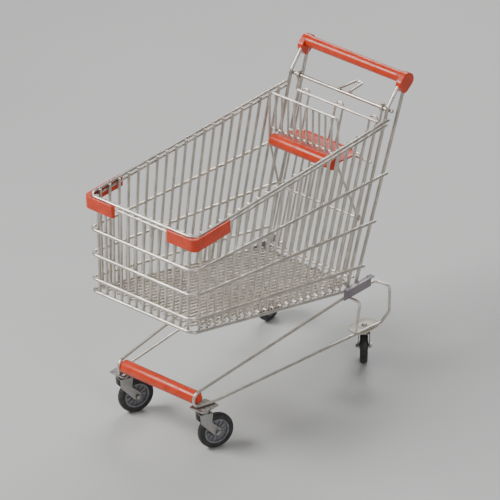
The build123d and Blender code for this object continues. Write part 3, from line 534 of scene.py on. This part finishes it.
# ---------------------------------------------------------------- pieces
class CART_OT_stage(bpy.types.Operator):
    """Floor, soft lights and camera"""
    bl_idname = "cart.stage"
    bl_label = "Stage"

    def area(self, name, spot, size, power, aim):
        bpy.ops.object.select_all(action="DESELECT")
        bpy.ops.object.light_add(type="AREA", location=spot)
        lamp = bpy.context.object
        lamp.name = name
        lamp.data.shape = "RECTANGLE"
        lamp.data.size, lamp.data.size_y = size
        lamp.data.energy = power
        lamp.rotation_euler = (Vector(aim) - Vector(spot)).to_track_quat("-Z", "Y").to_euler()

    def execute(self, context):
        stage = context.scene.cart_stage
        bpy.ops.object.select_all(action="DESELECT")
        bpy.ops.mesh.primitive_plane_add(size=30.0, location=(0.0, 0.0, -0.0005))
        floor = context.object
        floor.name = "studio_floor"
        bpy.ops.object.transform_apply(location=True, rotation=True, scale=True)
        f = Finish("studio_floor")
        cloud = f.noise(1.2, 3.0)
        tone = tuple(context.scene.cart_colours.floor)
        floor.data.materials.append(f.wear(
            Base_Color=f.blend(f.step(cloud, 0.3, 0.7), tint(tone, 0.985), tint(tone, 1.015)),
            Roughness=0.52 + cloud * 0.06))
        centre = (0.0, 0.0, 0.5)
        self.area("key", (-2.4, -3.0, 4.2), (2.6, 1.8), stage.key, centre)
        self.area("fill", (4.4, -1.6, 2.4), (2.4, 2.4), stage.fill, centre)
        self.area("back", (-1.6, 3.8, 3.4), (3.2, 1.2), stage.back, centre)
        world = bpy.data.worlds.new("room")
        world.use_nodes = True
        shade = world.node_tree.nodes["Background"]
        shade.inputs["Color"].default_value = (0.96, 0.98, 1.0, 1.0)
        shade.inputs["Strength"].default_value = stage.sky
        context.scene.world = world
        a, e, r = stage.around, stage.above, stage.roll
        back = Vector((math.sin(a) * math.cos(e), -math.cos(a) * math.cos(e), math.sin(e)))
        right = Vector((math.cos(a), math.sin(a), 0.0))
        up = back.cross(right)
        side = right * math.cos(r) + up * math.sin(r)
        top = up * math.cos(r) - right * math.sin(r)
        turn = Matrix((side, top, back)).transposed().to_4x4()
        spot = Vector(stage.aim) + back * stage.distance
        bpy.ops.object.select_all(action="DESELECT")
        bpy.ops.object.camera_add()
        camera = context.object
        camera.name = "camera"
        camera.matrix_world = Matrix.Translation(spot) @ turn
        camera.data.lens = stage.lens
        camera.data.sensor_width = 36.0
        camera.data.clip_end = 60.0
        context.scene.camera = camera
        return {"FINISHED"}


class CART_OT_finishes(bpy.types.Operator):
    """Finishes of every piece that keeps its own shape"""
    bl_idname = "cart.finishes"
    bl_label = "Finishes"

    def execute(self, context):
        materials = finishes(context.scene.cart_colours)
        for name, node in frame["nodes"].items():
            if not node.data.materials:
                node.data.materials.append(None)
            for slot in node.material_slots:
                slot.material = materials[SLOTS[name]]
        return {"FINISHED"}


class CART_OT_grip(bpy.types.Operator):
    """Moulded grip that swells at each end to meet its cap"""
    bl_idname = "cart.grip"
    bl_label = "Grip"

    def execute(self, context):
        sizes = context.scene.cart_sizes
        low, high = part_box("handle_grip")
        core_low, core_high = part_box("handle_core_tube")
        radius = (high.z - low.z) / 2
        bore = (core_high.z - core_low.z) / 2
        flare, reach = sizes.grip_flare, sizes.grip_flare_length
        edge, count = 0.0006, 6
        swell = [(flare * (math.cos(b) - math.cos(a)), reach / count) for a, b in quarter(count)]
        end = [(0.0, edge), (edge, edge), (radius + flare - edge - bore, 0.0)]
        grip = turned("grip", radius, high.x - low.x - 2 * (reach + 2 * edge), swell + end,
                      sides=128)
        place(grip, middle("handle_grip"), (1.0, 0.0, 0.0))
        finish_piece(grip, "handle_grip")
        return {"FINISHED"}


class CART_OT_bumper_tube(bpy.types.Operator):
    """Plastic tube across the front with a domed plug in each end"""
    bl_idname = "cart.bumper_tube"
    bl_label = "Front tube"

    def execute(self, context):
        sizes = context.scene.cart_sizes
        low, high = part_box("front_bumper_tube")
        plug_low, plug_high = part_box("front_bumper_plugs")
        radius = (high.z - low.z) / 2
        bore = (plug_high.z - plug_low.z) / 2
        edge, reach = 0.0018, 0.045
        tube = turned("front_tube", radius, high.x - low.x - 2 * edge,
                      rounded(edge, 3) + [(radius - edge - bore, 0.0)], sides=128)
        place(tube, middle("front_bumper_tube"), (1.0, 0.0, 0.0))
        finish_piece(tube, "front_bumper_tube")
        dome = sizes.plug_dome
        steps = domed(bore, dome)
        parts = []
        for side, end in ((-1.0, plug_low.x), (1.0, plug_high.x)):
            plug = turned("front_tube_plugs", bore, reach - 2 * dome, steps, bored=False, sides=64)
            spot = middle("front_bumper_tube")
            spot.x = end - side * reach / 2
            parts.append(place(plug, spot, (side, 0.0, 0.0)))
        finish_piece(joined(parts), "front_bumper_plugs")
        return {"FINISHED"}


class CART_OT_tyres(bpy.types.Operator):
    """Solid tyres with a crowned tread, a shallow groove and a chamfer round each side"""
    bl_idname = "cart.tyres"
    bl_label = "Tyres"

    def execute(self, context):
        low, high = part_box("front_left_tyre")
        radius = (high.z - low.z) / 2
        width, bore = 0.026, 0.044
        crown, shoulder = 0.0007, 0.0075
        margin, groove, depth = 0.0016, 0.0022, 0.0005
        chamfer, sink = 0.0010, 0.0008
        half = width / 2
        flat = radius - crown - shoulder - bore
        steps = [(crown * 0.25, half * 0.20), (crown * 0.75, half - shoulder - half * 0.40)]
        steps += rounded(shoulder, 5)
        steps += [(margin, 0.0), (depth, -depth), (groove, 0.0), (depth, depth),
                  (flat - margin - depth - groove - depth - chamfer, 0.0), (chamfer, -sink)]
        master = turned("tyre_master", radius, half * 0.40, steps, sides=112)
        for corner in CORNERS:
            node = corner + "_tyre"
            tyre = copied(master, corner + "_tyre_moulded")
            place(tyre, *joint(corner + "_spin"))
            finish_piece(tyre, node, 28.0)
        bpy.data.objects.remove(master)
        return {"FINISHED"}


class CART_OT_wheels(bpy.types.Operator):
    """Moulded wheel discs with a hub, a sunk web and radial ribs"""
    bl_idname = "cart.wheels"
    bl_label = "Wheel discs"

    def rib(self, disc, spot, angle, size):
        """Fuse one radial rib, with its edges rounded, to the disc."""
        edge = 0.0007
        bpy.ops.object.select_all(action="DESELECT")
        bpy.ops.mesh.primitive_cube_add(size=1.0, location=spot, rotation=(0.0, 0.0, angle))
        rib = bpy.context.object
        rib.scale = size
        bpy.ops.object.transform_apply(location=True, rotation=True, scale=True)
        bevel = rib.modifiers.new("edge", "BEVEL")
        bevel.width = edge
        bevel.segments = 2
        bpy.ops.object.modifier_apply(modifier=bevel.name)
        fuse = disc.modifiers.new("rib", "BOOLEAN")
        fuse.operation = "UNION"
        fuse.solver = "EXACT"
        fuse.object = rib
        only(disc)
        bpy.ops.object.modifier_apply(modifier=fuse.name)
        bpy.data.objects.remove(rib)

    def execute(self, context):
        sizes = context.scene.cart_sizes
        bore, hub, rim, radius = 0.00508, 0.013, 0.0385, 0.0439
        half_rim, half_web, half_hub = 0.0118, 0.0045, 0.0158
        edge, chamfer, draft, bite, height = 0.0006, 0.0008, 0.0010, 0.0016, 0.0048
        steps = [(edge, edge), (radius - rim - edge - chamfer, 0.0), (chamfer, -chamfer),
                 (draft, half_web - half_rim + chamfer - edge), (rim - draft - hub - draft, 0.0),
                 (draft, half_hub - half_web - chamfer), (chamfer, chamfer),
                 (hub - chamfer - bore, 0.0)]
        master = turned("wheel_master", radius, 2 * (half_rim - edge), steps, sides=96)
        reach = (hub + rim) / 2
        size = (rim - hub + bite, sizes.rib_width, height)
        for i in range(RIBS):
            angle = 2 * math.pi * i / RIBS
            for side in (-1.0, 1.0):
                spot = (reach * math.cos(angle), reach * math.sin(angle), side * (half_web + bite))
                self.rib(master, spot, angle, size)
        for corner in CORNERS:
            node = corner + "_wheel"
            wheel = copied(master, corner + "_disc_moulded")
            place(wheel, *joint(corner + "_spin"))
            finish_piece(wheel, node, 30.0)
        bpy.data.objects.remove(master)
        return {"FINISHED"}


class CART_OT_sheet_parts(bpy.types.Operator):
    """Pressed sheet and bolts with their edges rounded"""
    bl_idname = "cart.sheet_parts"
    bl_label = "Sheet parts and bolts"

    def execute(self, context):
        edge = context.scene.cart_sizes.sheet_edge
        sheet = ["bracket_left", "bracket_right", "front_castor_plates", "rear_castor_plates",
                 "castor_top_plates"]
        sheet += [corner + "_fork" for corner in CORNERS]
        sheet += [corner + "_axle_bolt" for corner in CORNERS]
        for node in sheet:
            softened(node, edge)
        return {"FINISHED"}


class CART_OT_seat(bpy.types.Operator):
    """Moulded seat plate with rounded edges"""
    bl_idname = "cart.seat"
    bl_label = "Child seat"

    def execute(self, context):
        softened("seat_plate", context.scene.cart_sizes.plastic_edge, 4)
        return {"FINISHED"}


class CART_OT_rivets(bpy.types.Operator):
    """Domed heads of the kingpins on the rear castor plates"""
    bl_idname = "cart.rivets"
    bl_label = "Rivet heads"

    def execute(self, context):
        radius = context.scene.cart_sizes.rivet
        blank, sunk = 0.001, 0.0002
        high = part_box("rear_castor_plates")[1]
        steps = domed(radius, radius * 0.4)
        parts = []
        for side in ("left", "right"):
            spot, axis = joint(f"rear_{side}_swivel")
            spot.z = high.z
            head = turned("rivet_heads", radius, blank, steps, bored=False, sides=48)
            parts.append(place(head, spot, axis))
        heads = joined(parts)
        edit(heads)
        bpy.ops.mesh.select_all(action="SELECT")
        bpy.ops.mesh.bisect(plane_co=(0.0, 0.0, high.z - sunk), plane_no=(0.0, 0.0, 1.0),
                            clear_inner=True, use_fill=True)
        done()
        heads.data.materials.append(FINISHES["bolt_steel"])
        smooth(heads)
        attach(heads, "frame")
        return {"FINISHED"}


class CART_OT_welds(bpy.types.Operator):
    """Welds of the rails, stays, legs and brackets"""
    bl_idname = "cart.welds"
    bl_label = "Welds"

    def bead(self, spot, run, size):
        """One ripple of a weld: a small ball, squashed along the weld's run."""
        bpy.ops.object.select_all(action="DESELECT")
        bpy.ops.mesh.primitive_ico_sphere_add(subdivisions=2, radius=size)
        ball = bpy.context.object
        ball.scale = (1.0, 1.0, 0.8)
        bpy.ops.object.transform_apply(location=False, rotation=False, scale=True)
        return place(ball, spot, run)

    def seam(self, start, end, size):
        """Ripples of weld from start to end, each overlapping the last."""
        pitch, unevenness, phase = 1.1, 0.12, 2.4
        run = Vector(end) - Vector(start)
        count = max(2, round(run.length / (size * pitch)))
        return [self.bead(Vector(start) + run * (i / count), run,
                          size * (1.0 + unevenness * math.sin(phase * i)))
                for i in range(count + 1)]

    def execute(self, context):
        size = context.scene.cart_sizes.weld
        light, lightest = size * 0.8, size * 0.6
        legs, bend = (0.24, 0.86), 0.013
        bar_low, bar_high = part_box("crossbar")
        bar = (bar_low + bar_high) / 2
        radius = (bar_high.z - bar_low.z) / 2
        beads = []
        for side, name in ((-1.0, "left"), (1.0, "right")):
            low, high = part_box("bracket_" + name)
            inner = side * min(abs(low.x), abs(high.x))
            for leg in legs:
                y = low.y + (high.y - low.y) * leg
                beads += self.seam((inner, y, high.z), (inner, y + 0.004, high.z + 0.0015), size)
            beads += self.seam((inner, low.y, low.z + 0.004), (inner, low.y, low.z + 0.014), light)
            x = side * (bar_high.x - bend)
            beads += self.seam((x, bar_low.y + 0.001, bar.z + radius * 0.55),
                               (x, bar_low.y - 0.001, bar.z - radius * 0.40), light)
        hook_low, hook_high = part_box("bag_hook")
        for x in (hook_low.x, hook_high.x):
            beads += self.seam((x, bar_low.y + 0.002, bar_high.z),
                               (x, bar_high.y - 0.002, bar_high.z), lightest)
        welds = joined(beads)
        welds.name = "welds"
        welds.data.materials.append(FINISHES["upright_wire"])
        smooth(welds, 60.0)
        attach(welds, "frame")
        return {"FINISHED"}


OPERATORS = (CART_OT_stage, CART_OT_finishes, CART_OT_grip, CART_OT_bumper_tube, CART_OT_tyres,
             CART_OT_wheels, CART_OT_sheet_parts, CART_OT_seat, CART_OT_rivets, CART_OT_welds)


class CART_PT_panel(bpy.types.Panel):
    """The cart's pieces, in building order"""
    bl_idname = "CART_PT_panel"
    bl_label = "Shopping cart"
    bl_space_type = "VIEW_3D"
    bl_region_type = "UI"
    bl_category = "Cart"

    def draw(self, context):
        for group in ("cart_sizes", "cart_colours", "cart_stage"):
            settings = getattr(context.scene, group)
            for name in settings.bl_rna.properties.keys():
                if name not in ("rna_type", "name"):
                    self.layout.prop(settings, name)
        for operator in OPERATORS:
            self.layout.operator(operator.bl_idname)


GROUPS = {"cart_sizes": CartSizes, "cart_colours": CartColours, "cart_stage": CartStage}


def register():
    for cls in (*GROUPS.values(), *OPERATORS, CART_PT_panel):
        bpy.utils.register_class(cls)
    for name, group in GROUPS.items():
        setattr(bpy.types.Scene, name, PointerProperty(type=group))


def unregister():
    for name in GROUPS:
        delattr(bpy.types.Scene, name)
    for cls in (CART_PT_panel, *reversed(OPERATORS), *reversed(tuple(GROUPS.values()))):
        bpy.utils.unregister_class(cls)


def main():
    register()
    for operator in OPERATORS:
        section, name = operator.bl_idname.split(".")
        getattr(getattr(bpy.ops, section), name)()


if __name__ == "__main__":
    main()
